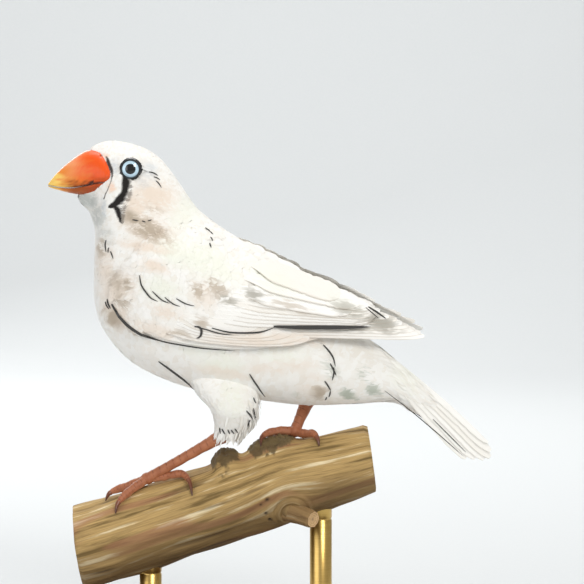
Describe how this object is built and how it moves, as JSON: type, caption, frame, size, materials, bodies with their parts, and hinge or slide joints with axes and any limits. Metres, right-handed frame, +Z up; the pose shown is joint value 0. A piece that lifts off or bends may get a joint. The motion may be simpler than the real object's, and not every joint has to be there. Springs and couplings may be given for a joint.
{
  "type": "zebra finch, white form, on a perch stand",
  "caption": "Life-size zebra finch of the white form, standing still in profile on a cut length of branch held by a small wooden stand.",
  "frame": {"origin": "centre of the stand's flat underside", "axes": "+Z up; the bird faces -X; its left side faces -Y"},
  "size_m": [0.0845, 0.048, 0.097],
  "materials": {
    "plumage": "soft matt feathering",
    "bill": "waxy satin horn",
    "eye": "polished",
    "leg": "satin scales",
    "bark": "rough bark",
    "base_wood": "dark satin varnish",
    "rod_brass": "brushed"
  },
  "bodies": {
    "root": {"head": "plumage", "neck": "plumage", "torso": "plumage", "bill_upper": "bill", "bill_lower": "bill", "eye_left": "eye", "eye_right": "eye", "wing_left": "plumage", "wing_right": "plumage", "tail": "plumage", "thigh_left": "plumage", "thigh_right": "plumage", "shank_left": "leg", "shank_right": "leg", "foot_left": "leg", "foot_right": "leg", "perch_branch": "bark", "stand_base": "base_wood", "stand_rod_front": "rod_brass", "stand_rod_rear": "rod_brass"}
  },
  "joints": []
}
